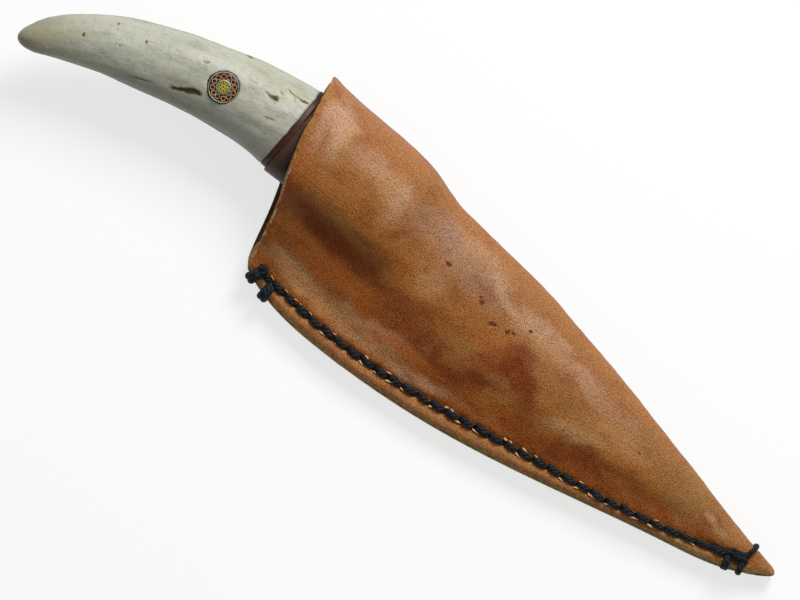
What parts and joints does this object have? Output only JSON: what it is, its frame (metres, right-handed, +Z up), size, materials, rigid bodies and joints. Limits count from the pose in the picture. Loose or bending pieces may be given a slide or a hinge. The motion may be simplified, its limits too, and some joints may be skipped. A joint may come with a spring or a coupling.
{
  "type": "sheath knife",
  "caption": "Fixed-blade knife with a curved antler handle and an inlaid pin, pushed into a folded leather pouch that is stitched along its lower edge.",
  "frame": {"origin": "on the flat back of the pouch, under the middle of the whole object's box", "axes": "+X from the handle's tip to the pouch's tip, +Y to the folded edge (the blade's spine side), +Z up from the pouch's flat back"},
  "size_m": [0.2317, 0.0556, 0.0249],
  "materials": {
    "steel": "flat-ground, satin",
    "antler": "polished natural antler, off-white with yellow and brown grain",
    "spacer": "red-brown, waxed",
    "ferrule_wood": "dark grained, oiled",
    "glue": "hardened glue, hidden",
    "pin_silver": "nickel silver, polished",
    "pin_copper": "copper-coloured, polished",
    "pin_brass": "polished",
    "resin_red": "dark red resin",
    "resin_yellow": "yellow-green resin",
    "leather": "vegetable-tanned, hand-dyed tan, burnished edges",
    "welt_leather": "natural, burnished cut edge",
    "thread": "waxed two-ply thread, blue-black"
  },
  "bodies": {
    "sheath": {"sheath_leather": "leather", "welt": "welt_leather", "seam_thread": "thread", "mouth_lock_thread": "thread", "tip_lock_thread": "thread"},
    "knife": {"blade": "steel", "antler_handle": "antler", "handle_spacer": "spacer", "ferrule": "ferrule_wood", "tang_bedding": "glue", "pin_outer_tube": "pin_silver", "pin_ring_tubes": "pin_copper", "pin_ring_resin": "resin_red", "pin_middle_tube": "pin_silver", "pin_core_tubes": "pin_brass", "pin_core_resin": "resin_yellow"}
  },
  "joints": [
    {"name": "draw_knife", "type": "slide", "parent": "sheath", "child": "knife", "axis": [-0.9981, 0, 0.061], "range_m": [0, 0.15]}
  ]
}
